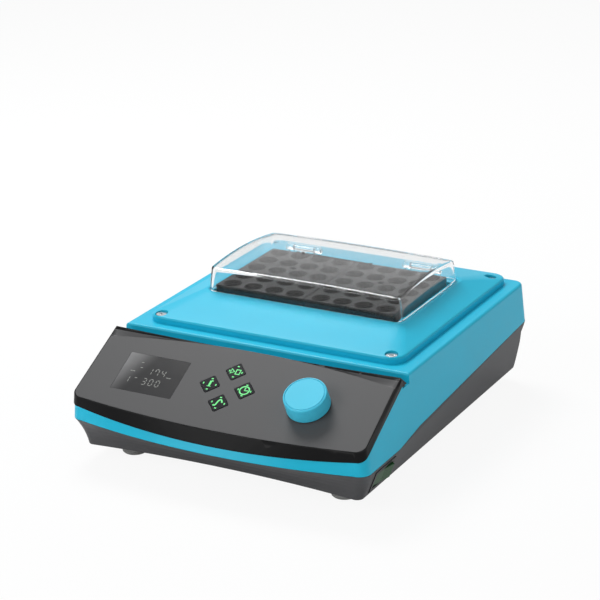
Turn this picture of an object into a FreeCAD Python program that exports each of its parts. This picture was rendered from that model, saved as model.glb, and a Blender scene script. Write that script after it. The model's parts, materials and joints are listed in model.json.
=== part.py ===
import FreeCAD, Part
import math
import os
import re
import Sketcher

# Dry bath incubator: a bench-top heater for sample tubes. A two-part moulded case carries a
# sloping control panel in front and, behind it, a raised deck with two drilled heating blocks
# under a clear hinged cover. Millimetres; X to the right, Y to the rear, Z up. The origin is on
# the bench, below the middle of the case.

SIZES = {
    # Case, seen from above and from the side
    "case_width": 243.6,
    "case_width_top": 237.2,
    "case_depth": 316.0,
    "case_corner": 9.0,
    "front_bow": 13.0,
    "front_bow_top": -14.0,
    "rear_lean": 6.0,
    "wall": 2.8,
    "flange_height": 83.5,
    "flange_edge": 2.0,
    "seam_front": 33.5,
    "seam_rise": 5.0,
    "seam_rear": 51.5,
    "seam_rise_front": -88.0,
    "seam_rise_rear": -54.0,
    "seam_gap": 0.3,
    "flange_opening": 178.0,
    "flange_opening_front": -15.0,
    "flange_opening_rear": 103.5,
    "window_play": 2.0,
    # Screws that hold the case and the deck together
    "post_radius_case": 5.0,
    "post_meet": 46.0,
    "screw_bite": 12.0,
    "screw_sink": 14.0,
    "thread_play": 0.02,
    # Lower tray
    "tray_height": 11.5,
    "tray_width": 227.4,
    "cove_reach": 8.6,
    "tray_rear_inset": 10.0,
    "tray_corner": 5.0,
    "tray_rear_ledge": 43.0,
    "tray_rear_drop": 9.0,
    "tray_bow": -6.4,
    # Sloping panel: foot of its face, slope in degrees and outline along the slope
    "panel_slope": 28.0,
    "panel_foot": 51.6,
    "panel_width": 240.0,
    "panel_width_top": 237.4,
    "panel_length": 72.2,
    "panel_bow": 6.0,
    "panel_top_bow": 1.7,
    "panel_corner": 7.0,
    "panel_skirt": 6.5,
    "skirt_lip": 3.46,
    "skirt_bow": 11.4,
    "skirt_grow": 0.7,
    "panel_wall": 2.0,
    "film": 0.25,
    "film_step": 0.05,
    "film_inset": 0.8,
    "scoop_length": 11.2,
    "scoop_bow": 9.3,
    "scoop_depth": 2.3,
    "rim_width": 1.2,
    "rim_step": 0.1,
    "channel_floor": 76.5,
    "channel_gap": 2.25,
    "channel_width": 11.5,
    # Deck over the heater
    "deck_width": 213.0,
    "deck_inset": 10.0,
    "deck_rear_inset": 11.0,
    "deck_corner": 12.0,
    "deck_step": 5.0,
    "deck_height": 96.0,
    "plateau_width": 172.0,
    "plateau_front": -10.5,
    "plateau_rear": 106.0,
    "plateau_corner": 8.0,
    "deck_edge": 2.0,
    "deck_blend": 5.0,
    "deck_wall": 2.6,
    "well_width": 158.0,
    "well_front": -5.0,
    "well_rear": 93.5,
    "well_corner": 3.0,
    # Deck screws
    "screw_spread": 194.0,
    "screw_inset": 6.5,
    "screw_rear_inset": 15.0,
    "screw_radius": 2.0,
    "screw_head": 4.2,
    "screw_head_height": 2.6,
    "screw_socket": 1.5,
    "screw_clearance": 0.3,
    "screw_seat": 86.0,
    "boss_radius": 6.2,
    "screw_pocket": 4.9,
    "socket_share": 1.2,
    # Clear cover
    "lid_width": 165.2,
    "lid_front": -6.4,
    "lid_rear": 101.5,
    "lid_top": 117.8,
    "lid_draft": 1.6,
    "lid_wall": 2.2,
    "lid_corner": 6.5,
    "lid_arch": 350.0,
    "lid_arch_centre": 40.0,
    "lid_arch_span": 75.0,
    "lid_edge": 4.0,
    "lid_seat": 0.8,
    "lid_play": 0.8,
    "lid_gap": 0.3,
    # Hinge of the cover
    "hinge_back": 99.0,
    "hinge_height": 101.0,
    "hinge_spread": 104.0,
    "knuckle_radius": 2.4,
    "knuckle_length": 18.0,
    "ear_length": 5.0,
    "pin_radius": 1.1,
    "pin_play": 0.05,
    "hinge_gap": 0.3,
    "hinge_plate": 1.2,
    "hinge_plate_front": 94.6,
    "hinge_plate_rear": 2.0,
    "hinge_plate_side": 3.0,
    "hinge_web": 2.4,
    "notch_rise": 0.8,
    "rear_lift": 0.8,
    "lift_start": 88.0,
    # Heating blocks and what heats them
    "block_width": 76.2,
    "block_depth": 93.0,
    "block_height": 50.0,
    "block_top": 100.5,
    "block_middle": 44.0,
    "block_gap": 0.5,
    "block_edge": 1.0,
    "tube_radius": 7.35,
    "tube_depth": 40.0,
    "tube_cone": 4.2,
    "tube_pitch": 18.2,
    "row_pitch": 19.3,
    "probe_radius": 2.6,
    "plate_thick": 8.0,
    "plate_margin": 3.0,
    "plate_corner": 2.0,
    "mat_thick": 1.6,
    "mat_inset": 18.0,
    "bed_gap": 0.3,
    "jacket_wall": 7.0,
    "jacket_play": 1.0,
    "jacket_height": 30.0,
    "sensor_radius": 2.0,
    "sensor_length": 32.0,
    "sensor_sunk": 22.0,
    "cutout_radius": 8.0,
    "cutout_height": 6.0,
    "cutout_y": 83.0,
    "standoff_radius": 4.0,
    "standoff_inset": 14.0,
    # Control panel parts, placed along and up the slope
    "display_x": -68.0,
    "display_v": 32.6,
    "display_width": 51.0,
    "display_height": 35.8,
    "display_corner": 1.0,
    "display_thick": 1.0,
    "display_rim": 1.5,
    "module_thick": 5.0,
    "leg_radius": 1.0,
    "leg_inset": 3.0,
    "keys_x": -4.5,
    "keys_v": 34.8,
    "keys_step_x": 14.4,
    "keys_step_v": 15.2,
    "key_side": 12.0,
    "key_corner": 1.2,
    "key_gap": 0.3,
    "key_proud": 0.5,
    "key_flange": 1.2,
    "key_travel": 0.8,
    "key_height": 4.2,
    "stem_radius": 2.0,
    "knob_x": 63.2,
    "knob_v": 32.3,
    "knob_radius": 16.4,
    "knob_height": 11.7,
    "knob_lift": 1.3,
    "knob_wall": 2.2,
    "knob_edge": 1.0,
    "knob_draft": 0.3,
    "hub_radius": 5.5,
    "hub_low": 4.0,
    "knob_ring": 14.6,
    "knob_ring_width": 0.6,
    "knob_ring_depth": 0.4,
    "shaft_radius": 3.0,
    "shaft_play": 0.05,
    "bushing_radius": 4.5,
    "bushing_proud": 3.0,
    "encoder_side": 12.0,
    "encoder_height": 6.4,
    "encoder_floor": 1.0,
    "nut_radius": 6.4,
    "nut_thick": 1.8,
    "board_drop": 15.0,
    "board_thick": 1.6,
    "board_width": 180.0,
    "board_x": -7.0,
    "board_low": 6.0,
    "board_high": 60.0,
    "board_screw": 1.2,
    "board_screw_head": 2.3,
    "board_screw_high": 1.6,
    "board_screw_socket": 1.0,
    "board_screw_inset": 4.0,
    "board_screw_middle": 40.0,
    "board_boss": 2.6,
    "socket_x": -40.0,
    "socket_long": 24.0,
    "socket_wide": 6.0,
    "socket_tall": 5.0,
    "switch_side": 6.0,
    "switch_height": 3.1,
    "plunger_height": 0.7,
    "plunger_radius": 1.7,
    # Power switch on the right side of the tray
    "rocker_setback": 35.5,
    "rocker_z": 22.0,
    "rocker_length": 29.0,
    "rocker_height": 15.0,
    "rocker_rim": 1.5,
    "rocker_depth": 12.0,
    "rocker_wall": 1.2,
    "rocker_play": 1.2,
    "rocker_swing": 14.0,
    "rocker_rise": 1.2,
    "rocker_dip": 0.8,
    "rocker_foot": 4.0,
    "rocker_rim_thick": 0.6,
    "pivot_depth": 4.5,
    "pivot_radius": 1.3,
    "tab_pitch": 8.0,
    "tab_wide": 6.3,
    "tab_thick": 0.8,
    "tab_long": 7.0,
    # Mains inlet in the rear of the tray
    "inlet_x": -70.0,
    "inlet_z": 27.0,
    "inlet_width": 27.6,
    "inlet_height": 20.0,
    "inlet_corner": 2.0,
    "inlet_rim": 3.0,
    "inlet_rim_thick": 2.0,
    "inlet_depth": 24.0,
    "socket_width": 24.5,
    "socket_height": 16.5,
    "socket_depth": 17.0,
    "socket_chamfer": 5.0,
    "blade_width": 4.0,
    "blade_thick": 2.0,
    "blade_pitch": 7.0,
    "fit_gap": 0.3,
    # Power board
    "power_width": 96.0,
    "power_length": 74.0,
    "power_y": 80.0,
    "power_lift": 8.0,
    "post_radius": 3.5,
    "post_inset": 6.0,
    "coil_x": -26.0,
    "coil_width": 34.0,
    "coil_height": 13.0,
    "capacitor_x": 34.0,
    "capacitor_radius": 8.0,
    "capacitor_high": 12.0,
    "relay_wide": 12.0,
    "relay_long": 28.0,
    "relay_high": 10.0,
    # Feet and underside
    "foot_radius": 9.5,
    "foot_spread": 176.0,
    "foot_setback": 26.4,
    "foot_rear_inset": 30.0,
    "foot_taper": 1.0,
    "foot_recess": 5.0,
    "foot_recess_depth": 5.5,
    "foot_screw_radius": 1.6,
    "foot_screw_head": 3.2,
    "foot_screw_high": 2.2,
    "foot_screw_socket": 1.3,
    "foot_boss": 4.0,
    "foot_boss_top": 20.0,
    "vent_x": 58.0,
    "vent_y": -70.0,
    "vent_length": 34.0,
    "vent_width": 3.0,
    "vent_pitch": 8.0,
}
VENT_SLOTS = 7
TUBE_COLUMNS = 4
TUBE_ROWS = 5
COVE_STEPS = 6
PRONGS = 3

# Places that follow from the sizes, along the depth of the case
PLACES = {
    "case_front": "front_bow-case_depth/2",
    "panel_edge": "case_front+panel_length*cos(panel_slope)",
    "channel_front": "panel_edge+channel_gap",
    "flange_front": "channel_front+channel_width",
    "deck_front": "flange_front+deck_inset",
    "deck_rear": "case_depth/2-deck_rear_inset",
    "screw_front": "deck_front+screw_inset",
    "screw_rear": "deck_rear-screw_rear_inset",
    "tray_front": "case_front+cove_reach",
    "tray_rear": "case_depth/2-tray_rear_inset",
    "foot_front": "tray_front+foot_setback",
    "foot_rear": "tray_rear-foot_rear_inset",
    "rocker_y": "case_front+rocker_setback",
}

doc = FreeCAD.newDocument("dry_bath_incubator")
sheet = doc.addObject("Spreadsheet::Sheet", "Sizes")
for row, (alias, size) in enumerate(SIZES.items(), start=1):
    sheet.set("A%d" % row, alias)
    sheet.set("B%d" % row, str(size))
    sheet.setAlias("B%d" % row, alias)
doc.recompute()


# Formulas are written with the plain names of the sizes and places above
def formula(text):
    return re.sub(r"[a-z][a-z_]*", lambda word: cell_name(word.group(0)), str(text))


def cell_name(word):
    if word in PLACES:
        return "(%s)" % formula(PLACES[word])
    return "Sizes." + word if word in SIZES else word


def number(text):
    result = sheet.evalExpression(formula(text))
    return float(getattr(result, "Value", result))


def bind(item, prop, text):
    item.setExpression(prop, formula(text))


def new_body(label):
    body = doc.addObject("PartDesign::Body", label)
    body.Label = label
    body.AllowCompound = True
    return body


def new_sketch(body, plane, offset="0"):
    sketch = body.newObject("Sketcher::SketchObject", "sketch")
    support = next(item for item in body.Origin.OriginFeatures if item.Role == plane)
    sketch.AttachmentSupport = [(support, "")]
    sketch.MapMode = "FlatFace"
    bind(sketch, "AttachmentOffset.Base.z", offset)
    return sketch


def pin_point(sketch, edge, end, x, y):
    for kind, axis, text in (("DistanceX", -2, x), ("DistanceY", -1, y)):
        if str(text) == "0":
            sketch.addConstraint(Sketcher.Constraint("PointOnObject", edge, end, axis))
        else:
            place = sketch.addConstraint(
                Sketcher.Constraint(kind, -1, 1, edge, end, number(text)))
            bind(sketch, "Constraints[%d]" % place, text)


# A closed outline. Each corner is (x, y) or (x, y, bow): a bow swells the edge that leaves this
# corner into an arc, outwards where the bow is positive and the corners run anticlockwise.
def outline(sketch, corners):
    points = [FreeCAD.Vector(number(c[0]), number(c[1]), 0) for c in corners]
    count = len(corners)
    for place, corner in enumerate(corners):
        start = points[place]
        end = points[(place + 1) % count]
        bow = corner[2] if len(corner) > 2 else "0"
        if str(bow) == "0":
            sketch.addGeometry(Part.LineSegment(start, end), False)
        else:
            chord = end - start
            side = FreeCAD.Vector(chord.y, -chord.x, 0).normalize()
            middle = (start + end) * 0.5 + side * number(bow)
            turning = (start, middle, end) if number(bow) > 0 else (end, middle, start)
            sketch.addGeometry(Part.Arc(*turning), False)
    for place, corner in enumerate(corners):
        following = (place + 1) % count
        first_end = end_number(sketch, place, points[following])
        second_end = end_number(sketch, following, points[following])
        sketch.addConstraint(
            Sketcher.Constraint("Coincident", place, first_end, following, second_end))
        bow = corner[2] if len(corner) > 2 else "0"
        if str(bow) != "0":
            nxt = corners[following]
            chord = "((%s)-(%s))^2+((%s)-(%s))^2" % (nxt[0], corner[0], nxt[1], corner[1])
            radius = "((%s)/4+(%s)^2)/(2*abs(%s))" % (chord, bow, bow)
            rule = sketch.addConstraint(Sketcher.Constraint("Radius", place, number(radius)))
            bind(sketch, "Constraints[%d]" % rule, radius)
    for place, corner in enumerate(corners):
        own_end = end_number(sketch, place, points[place])
        pin_point(sketch, place, own_end, corner[0], corner[1])


def end_number(sketch, edge, point):
    curve = sketch.Geometry[edge]
    return 1 if (curve.StartPoint - point).Length < (curve.EndPoint - point).Length else 2


ROUND = 1 - math.sqrt(0.5)


def rounded(x_low, x_high, y_low, y_high, radius, front_bow="0", rear_bow="0"):
    turn = "(%s)*%.9f" % (radius, ROUND)
    return [
        ("(%s)+(%s)" % (x_low, radius), y_low, front_bow),
        ("(%s)-(%s)" % (x_high, radius), y_low, turn),
        (x_high, "(%s)+(%s)" % (y_low, radius)),
        (x_high, "(%s)-(%s)" % (y_high, radius), turn),
        ("(%s)-(%s)" % (x_high, radius), y_high, rear_bow),
        ("(%s)+(%s)" % (x_low, radius), y_high, turn),
        (x_low, "(%s)-(%s)" % (y_high, radius)),
        (x_low, "(%s)+(%s)" % (y_low, radius), turn),
    ]


def box_corners(x_low, x_high, y_low, y_high):
    return [(x_low, y_low), (x_high, y_low), (x_high, y_high), (x_low, y_high)]


def drawn(body, plane, corners, offset="0"):
    sketch = new_sketch(body, plane, offset)
    outline(sketch, corners)
    return sketch


def circles(body, plane, spots, radius, offset="0"):
    sketch = new_sketch(body, plane, offset)
    for place, (x, y) in enumerate(spots):
        centre = FreeCAD.Vector(number(x), number(y), 0)
        sketch.addGeometry(Part.Circle(centre, FreeCAD.Vector(0, 0, 1), number(radius)), False)
        rule = sketch.addConstraint(Sketcher.Constraint("Radius", place, number(radius)))
        bind(sketch, "Constraints[%d]" % rule, radius)
        pin_point(sketch, place, 3, x, y)
    return sketch


def feature(body, kind, sketch, length, both=False, back=False):
    item = body.newObject("PartDesign::" + kind, kind.lower())
    item.Profile = sketch
    bind(item, "Length", length)
    if both:
        item.SideType = "Symmetric"
    item.Reversed = back
    sketch.Visibility = False
    return item


def pad(body, plane, corners, length, offset="0", both=False, back=False):
    return feature(body, "Pad", drawn(body, plane, corners, offset), length, both, back)


def pocket(body, plane, corners, length, offset="0", both=False, back=False):
    return feature(body, "Pocket", drawn(body, plane, corners, offset), length, both, back)


def loft(body, kind, plane, stages, ruled=True):
    sketches = [drawn(body, plane, corners, offset) for corners, offset in stages]
    item = body.newObject("PartDesign::" + kind, kind.lower())
    item.Profile = sketches[0]
    item.Sections = sketches[1:]
    item.Ruled = ruled
    return item


def turned(body, kind, corners, plane="XZ_Plane"):
    sketch = drawn(body, plane, corners)
    item = body.newObject("PartDesign::" + kind, kind.lower())
    item.Profile = sketch
    item.ReferenceAxis = (sketch, ["V_Axis"])
    item.Angle = 360
    return item


def mirrored(body, originals, plane="YZ_Plane"):
    item = body.newObject("PartDesign::Mirrored", "mirrored")
    support = next(axis for axis in body.Origin.OriginFeatures if axis.Role == plane)
    item.Originals = originals
    item.MirrorPlane = (support, [""])
    body.Tip = item
    return item


def pattern(body, originals, axis, span, count):
    item = body.newObject("PartDesign::LinearPattern", "pattern")
    support = next(line for line in body.Origin.OriginFeatures if line.Role == axis)
    item.Originals = originals
    item.Direction = (support, [""])
    item.Mode = "Extent"
    bind(item, "Length", span)
    item.Occurrences = count
    body.Tip = item
    return item


def subtract_body(body, tool):
    item = body.newObject("PartDesign::Boolean", "boolean")
    item.Type = "Cut"
    item.setObjects([tool])
    body.Tip = item
    return item


# Rounds the edges of the last feature that a test on their two ends picks out
def soften(body, radius, wanted, kind="Fillet"):
    doc.recompute()
    tip = body.Tip
    names = []
    for place, edge in enumerate(tip.Shape.Edges, start=1):
        ends = [vertex.Point for vertex in edge.Vertexes]
        if ends and wanted(edge, ends):
            names.append("Edge%d" % place)
    item = body.newObject("PartDesign::" + kind, kind.lower())
    item.Base = (tip, names)
    bind(item, "Radius" if kind == "Fillet" else "Size", radius)
    return item


def level(height, tolerance=0.01):
    target = number(height)
    return lambda edge, ends: all(abs(point.z - target) < tolerance for point in ends)


# Places a piece that is drawn flat on the sloping face of the panel
def lay_on_panel(body, x="0", v="0"):
    body.Placement.Rotation = FreeCAD.Rotation(FreeCAD.Vector(1, 0, 0), number("panel_slope"))
    bind(body, "Placement.Rotation.Angle", "panel_slope")
    bind(body, "Placement.Base.x", x)
    bind(body, "Placement.Base.y", "case_front+(%s)*cos(panel_slope)" % v)
    bind(body, "Placement.Base.z", "panel_foot+(%s)*sin(panel_slope)" % v)


def stand_at(body, x, y, z="0"):
    bind(body, "Placement.Base.x", x)
    bind(body, "Placement.Base.y", y)
    bind(body, "Placement.Base.z", z)


nodes = []


def keep(item):
    nodes.append(item)
    return item


# Upper housing
# One moulded shell: leaning sides, a bowed front, a flat flange for the deck and a sloping seat
# for the control panel. The outer form and the hollow come from the same rule.
def housing_form(label, inset):
    body = new_body(label)
    half = "case_width/2-%s" % inset
    half_top = "case_width_top/2-%s" % inset
    front = "case_front+%s" % inset
    low = rounded("-(%s)" % half, half, front, "case_depth/2-%s" % inset,
                  "case_corner", "front_bow")
    high = rounded("-(%s)" % half_top, half_top, front, "case_depth/2-rear_lean-%s" % inset,
                   "case_corner", "front_bow_top")
    loft(body, "AdditiveLoft", "XY_Plane",
         [(low, "seam_front"), (high, "flange_height-%s" % inset)])
    # Sloping seat, measured from the foot of the panel's face
    seat = "(panel_skirt+%s)" % inset
    run = "(case_depth/2)"
    seat_y = "case_front+%s*sin(panel_slope)" % seat
    seat_z = "panel_foot-%s*cos(panel_slope)" % seat
    sky = "flange_height+20"
    channel = "channel_floor-%s" % inset
    step = "channel_front-%s" % inset
    pocket(body, "YZ_Plane", [
        ("%s-%s" % (seat_y, run), "%s-%s*tan(panel_slope)" % (seat_z, run)),
        (step, "%s+(%s-(%s))*tan(panel_slope)" % (seat_z, step, seat_y)),
        (step, channel),
        ("flange_front+%s" % inset, channel),
        ("flange_front+%s" % inset, sky),
        ("%s-%s" % (seat_y, run), sky),
    ], "case_width+20", both=True)
    return body


housing = housing_form("upper_housing", "0")
soften(housing, "flange_edge", lambda edge, ends: level("flange_height")(edge, ends)
       and max(abs(p.y) for p in ends) < number("case_depth/2"))
housing_hollow = housing_form("housing_hollow", "wall")
subtract_body(housing, housing_hollow)
SEAM = [
    ("-case_depth", "seam_front"),
    ("seam_rise_front", "seam_front"),
    ("seam_rise_rear", "seam_front+seam_rise"),
    ("case_depth/2", "seam_rear"),
    ("case_depth", "seam_rear"),
]
below_seam = [("-case_depth", "0"), ("case_depth", "0")] + [
    (y, "%s+seam_gap/2" % z) for y, z in reversed(SEAM)]
pocket(housing, "YZ_Plane", below_seam, "case_width+20", both=True)
# Bosses under its flange, the way through for the heater and the window behind the panel
def upright(body, spots, radius, low, high):
    return feature(body, "Pad", circles(body, "XY_Plane", spots, radius, low),
                   "(%s)-(%s)" % (high, low))


def drilled(body, spots, radius, low, high):
    return feature(body, "Pocket", circles(body, "XY_Plane", spots, radius, high),
                   "(%s)-(%s)" % (high, low))


CASE_SCREWS = [(x, y) for y in ("screw_front", "screw_rear")
               for x in ("-screw_spread/2", "screw_spread/2")]
pocket(housing, "XY_Plane",
       rounded("-flange_opening/2", "flange_opening/2", "flange_opening_front",
               "flange_opening_rear", "well_corner"),
       "wall+2", offset="flange_height+1")
window_edge = "(board_width/2+window_play)"
pocket(housing, "XY_Plane",
       rounded("board_x-%s" % window_edge, "board_x+%s" % window_edge,
               "case_front+(board_low-window_play)*cos(panel_slope)",
               "case_front+(board_high+window_play)*cos(panel_slope)"
               "+board_drop*sin(panel_slope)",
               "well_corner"),
       "channel_floor-seam_rear+panel_skirt+1", offset="channel_floor+1")
upright(housing, CASE_SCREWS, "post_radius_case", "post_meet+seam_gap", "flange_height-wall/2")
drilled(housing, CASE_SCREWS, "screw_radius+thread_play", "flange_height-screw_bite",
        "flange_height+1")
drilled(housing, CASE_SCREWS, "screw_radius+thread_play", "post_meet-1", "post_meet+screw_bite")
keep(housing)


# Lower tray
# A second shell, drawn in under the first: a hollow cove along the front, flat leaning sides
# whose lean eases towards the rear, and a rear wall that flares out to meet the seam.
def half_at(height):
    lean = "(case_width-case_width_top)/2/(flange_height-seam_front)"
    return "(case_width/2-((%s)-seam_front)*%s)" % (height, lean)


def tray_form(label, inset):
    body = new_body(label)
    stages = []
    for step in range(COVE_STEPS + 1):
        fall = step / COVE_STEPS
        draw = 2 * fall - fall * fall
        half = "case_width/2-(case_width-tray_width)/2*%s-%s" % (fall, inset)
        front = "case_front+(tray_front-case_front)*%s+%s" % (draw, inset)
        bow = "front_bow+(tray_bow-front_bow)*%s" % draw
        corner = "case_corner+(tray_corner-case_corner)*%s" % fall
        height = "seam_front-(seam_front-tray_height-%s)*%s" % (inset, fall)
        stages.append((rounded("-(%s)" % half, half, front, "tray_rear-%s" % inset,
                               corner, bow), height))
    loft(body, "AdditiveLoft", "XY_Plane", stages)
    collar = []
    for height, rear in (("seam_front", "tray_rear"), ("tray_rear_ledge", "tray_rear"),
                         ("seam_rear", "tray_rear+tray_rear_drop")):
        half = "%s-%s" % (half_at(height), inset)
        collar.append((rounded("-(%s)" % half, half, "case_front+%s" % inset,
                               "%s-%s" % (rear, inset), "case_corner", "front_bow"), height))
    loft(body, "AdditiveLoft", "XY_Plane", collar)
    beyond = "case_width/2+20"
    wedge = []
    for y, top in (("seam_rise_front", "seam_front"), ("case_depth/2", "seam_rear")):
        wedge.append(([("tray_width/2-%s" % inset, "tray_height"), (beyond, "tray_height"),
                       (beyond, top), ("%s-%s" % (half_at(top), inset), top)], "-(%s)" % y))
    mirrored(body, [loft(body, "SubtractiveLoft", "XZ_Plane", wedge)])
    return body


tray = tray_form("base_tray", "0")
tray_hollow = tray_form("tray_hollow", "wall")
subtract_body(tray, tray_hollow)
above_seam = [("case_depth", "case_depth"), ("-case_depth", "case_depth")] + [
    (y, "%s-seam_gap/2" % z) for y, z in SEAM]
pocket(tray, "YZ_Plane", above_seam, "case_width+20", both=True)
FEET = [(x, y) for y in ("foot_front", "foot_rear") for x in ("-foot_spread/2", "foot_spread/2")]
floor = "tray_height+wall"
upright(tray, CASE_SCREWS, "post_radius_case", "tray_height", "post_meet")
drilled(tray, CASE_SCREWS, "screw_radius+screw_clearance", "tray_height", "post_meet+1")
drilled(tray, CASE_SCREWS, "screw_head", "tray_height-1", "screw_sink")
upright(tray, FEET, "foot_boss", "tray_height", "foot_boss_top")
drilled(tray, FEET, "foot_screw_radius+thread_play", "tray_height-1", "foot_boss_top+1")
for side in ("-vent_x", "vent_x"):
    vent = pocket(tray, "XY_Plane",
                  box_corners("%s-vent_length/2" % side, "%s+vent_length/2" % side,
                              "vent_y-vent_width/2", "vent_y+vent_width/2"),
                  "wall+2", offset="tray_height+wall+1")
    pattern(tray, [vent], "Y_Axis", "vent_pitch*%d" % (VENT_SLOTS - 1), VENT_SLOTS)
keep(tray)


# Deck
# A shallow moulded cap: an upright edge, four slopes up to a plateau, and a collar down into the
# heater. The hollow below it leaves four bosses, and the screws sit sunk in them.
def deck_form(label, inset):
    body = new_body(label)
    base = rounded("%s-deck_width/2" % inset, "deck_width/2-%s" % inset, "deck_front+%s" % inset,
                   "deck_rear-%s" % inset, "deck_corner-%s" % inset)
    plateau = rounded("%s-plateau_width/2" % inset, "plateau_width/2-%s" % inset,
                      "plateau_front+%s" % inset, "plateau_rear-%s" % inset,
                      "plateau_corner-%s" % inset)
    pad(body, "XY_Plane", base, "deck_step-%s" % inset, offset="flange_height")
    loft(body, "AdditiveLoft", "XY_Plane",
         [(base, "flange_height+deck_step-%s" % inset), (plateau, "deck_height-%s" % inset)])
    return body


def around_well(margin):
    return rounded("-well_width/2-(%s)" % margin, "well_width/2+%s" % margin,
                   "well_front-(%s)" % margin, "well_rear+%s" % margin,
                   "well_corner+%s" % margin)


deck = deck_form("top_deck", "0")
soften(deck, "deck_edge", level("flange_height+deck_step"))
soften(deck, "deck_blend", level("deck_height"))
deck_hollow = deck_form("deck_hollow", "deck_wall")
drilled(deck_hollow, CASE_SCREWS, "boss_radius", "flange_height-1", "deck_height")
pocket(deck_hollow, "XY_Plane", around_well("deck_wall"), "deck_height", offset="deck_height")
subtract_body(deck, deck_hollow)
pocket(deck, "XY_Plane", around_well("0"), "deck_height-flange_height+2", offset="deck_height+1")
pocket(deck, "XY_Plane",
       rounded("-lid_width/2-lid_play", "lid_width/2+lid_play", "lid_front-lid_play",
               "lid_rear+lid_play", "lid_corner"),
       "lid_seat+1", offset="deck_height+1")
drilled(deck, CASE_SCREWS, "screw_pocket", "screw_seat", "deck_height+1")
drilled(deck, CASE_SCREWS, "screw_radius+screw_clearance", "flange_height-1", "screw_seat+1")
keep(deck)


# Screws with a hexagonal socket: heads first, then the shanks, down or up from the heads
def hexagon(x, y, radius):
    return [("(%s)+(%s)*cos(%d)" % (x, radius, turn), "(%s)+(%s)*sin(%d)" % (y, radius, turn))
            for turn in range(0, 360, 60)]


def screws(label, spots, head, head_low, head_high, shank, shank_low, shank_high, socket, up):
    body = new_body(label)
    upright(body, spots, head, head_low, head_high)
    upright(body, spots, shank, shank_low, shank_high)
    for x, y in spots:
        mouth = head_high if up else head_low
        pocket(body, "XY_Plane", hexagon(x, y, socket), "(%s)*socket_share" % socket,
               offset=mouth, back=not up)
    return keep(body)


screws("deck_screws", CASE_SCREWS, "screw_head", "screw_seat", "screw_seat+screw_head_height",
       "screw_radius", "flange_height-screw_bite+fit_gap", "screw_seat", "screw_socket", True)
screws("case_screws", CASE_SCREWS, "screw_head-fit_gap", "screw_sink-screw_head_height",
       "screw_sink", "screw_radius", "screw_sink", "post_meet+screw_bite-fit_gap",
       "screw_socket", False)


# Heating blocks
# Solid blocks drilled with four by five tube wells, and between them a hole for a probe. Each is
# drawn around the mouth of its first well.
def heating_block(label, middle):
    body = new_body(label)
    side = "((block_width-tube_pitch*%d)/2)" % (TUBE_COLUMNS - 1)
    end = "((block_depth-row_pitch*%d)/2)" % (TUBE_ROWS - 1)
    pad(body, "XY_Plane",
        box_corners("-%s" % side, "block_width-%s" % side, "-%s" % end, "block_depth-%s" % end),
        "block_height", back=True)
    soften(body, "block_edge", lambda edge, ends: abs(ends[0].z - ends[-1].z) > 1)
    soften(body, "block_edge/2", level("0"), "Chamfer")
    well = turned(body, "Groove", [("0", "1"), ("0", "-tube_depth-tube_cone"),
                                   ("tube_radius", "-tube_depth"), ("tube_radius", "1")])
    wells = pattern(body, [well], "X_Axis", "tube_pitch*%d" % (TUBE_COLUMNS - 1), TUBE_COLUMNS)
    support = next(line for line in body.Origin.OriginFeatures if line.Role == "Y_Axis")
    wells.Direction2 = (support, [""])
    wells.Mode2 = "Extent"
    bind(wells, "Length2", "row_pitch*%d" % (TUBE_ROWS - 1))
    wells.Occurrences2 = TUBE_ROWS
    doc.recompute()
    probe = body.newObject("PartDesign::Hole", "hole")
    probe.Profile = circles(body, "XY_Plane",
                            [("tube_pitch*%s" % ((TUBE_COLUMNS - 1) / 2),
                              "row_pitch*%s" % (TUBE_ROWS / 2))], "probe_radius")
    bind(probe, "Diameter", "2*probe_radius")
    bind(probe, "Depth", "tube_depth")
    probe.DrillPoint = "Angled"
    stand_at(body, "%s-block_width/2+%s" % (middle, side), "block_middle-block_depth/2+%s" % end,
             "block_top")
    return keep(body)


heating_block("heating_block_left", "-(block_width+block_gap)/2")
heating_block("heating_block_right", "(block_width+block_gap)/2")

# Heater: an aluminium plate under both blocks, a heating mat stuck below it, four standoffs, a
# foam jacket that rests on the rim of the plate, a sensor in its rear edge and a safety cut-out
both_blocks = "(block_width+block_gap/2)"
plate_top = "(block_top-block_height-bed_gap)"


def around_blocks(margin):
    return rounded("-%s-(%s)" % (both_blocks, margin), "%s+%s" % (both_blocks, margin),
                   "block_middle-block_depth/2-(%s)" % margin,
                   "block_middle+block_depth/2+%s" % margin, "plate_corner")


plate = new_body("heater_plate")
pad(plate, "XY_Plane", around_blocks("plate_margin"), "plate_thick", offset=plate_top, back=True)
feature(plate, "Pocket",
        circles(plate, "XZ_Plane", [("0", "%s-plate_thick/2" % plate_top)],
                "sensor_radius+pin_play", "-(block_middle+block_depth/2+plate_margin+1)"),
        "sensor_sunk+1", back=True)
keep(plate)

mat = new_body("heater_mat")
pad(mat, "XY_Plane", around_blocks("-mat_inset"), "mat_thick",
    offset="%s-plate_thick" % plate_top, back=True)
keep(mat)

STANDOFFS = [("%s%s" % (side, "(block_width+block_gap/2+plate_margin-standoff_inset)"),
              "block_middle%s(block_depth/2+plate_margin-standoff_inset)" % end)
             for end in "-+" for side in ("-", "")]
standoffs = new_body("plate_standoffs")
upright(standoffs, STANDOFFS, "standoff_radius", floor, "%s-plate_thick" % plate_top)
keep(standoffs)

jacket = new_body("insulation_jacket")
pad(jacket, "XY_Plane", around_blocks("jacket_play+jacket_wall"), "jacket_height",
    offset=plate_top)
pocket(jacket, "XY_Plane", around_blocks("jacket_play"), "jacket_height+2",
       offset="%s+jacket_height+1" % plate_top)
keep(jacket)

sensor = new_body("temperature_sensor")
feature(sensor, "Pad",
        circles(sensor, "XZ_Plane", [("0", "%s-plate_thick/2" % plate_top)], "sensor_radius",
                "-(block_middle+block_depth/2+plate_margin-sensor_sunk+fit_gap)"),
        "sensor_length", back=True)
keep(sensor)

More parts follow.
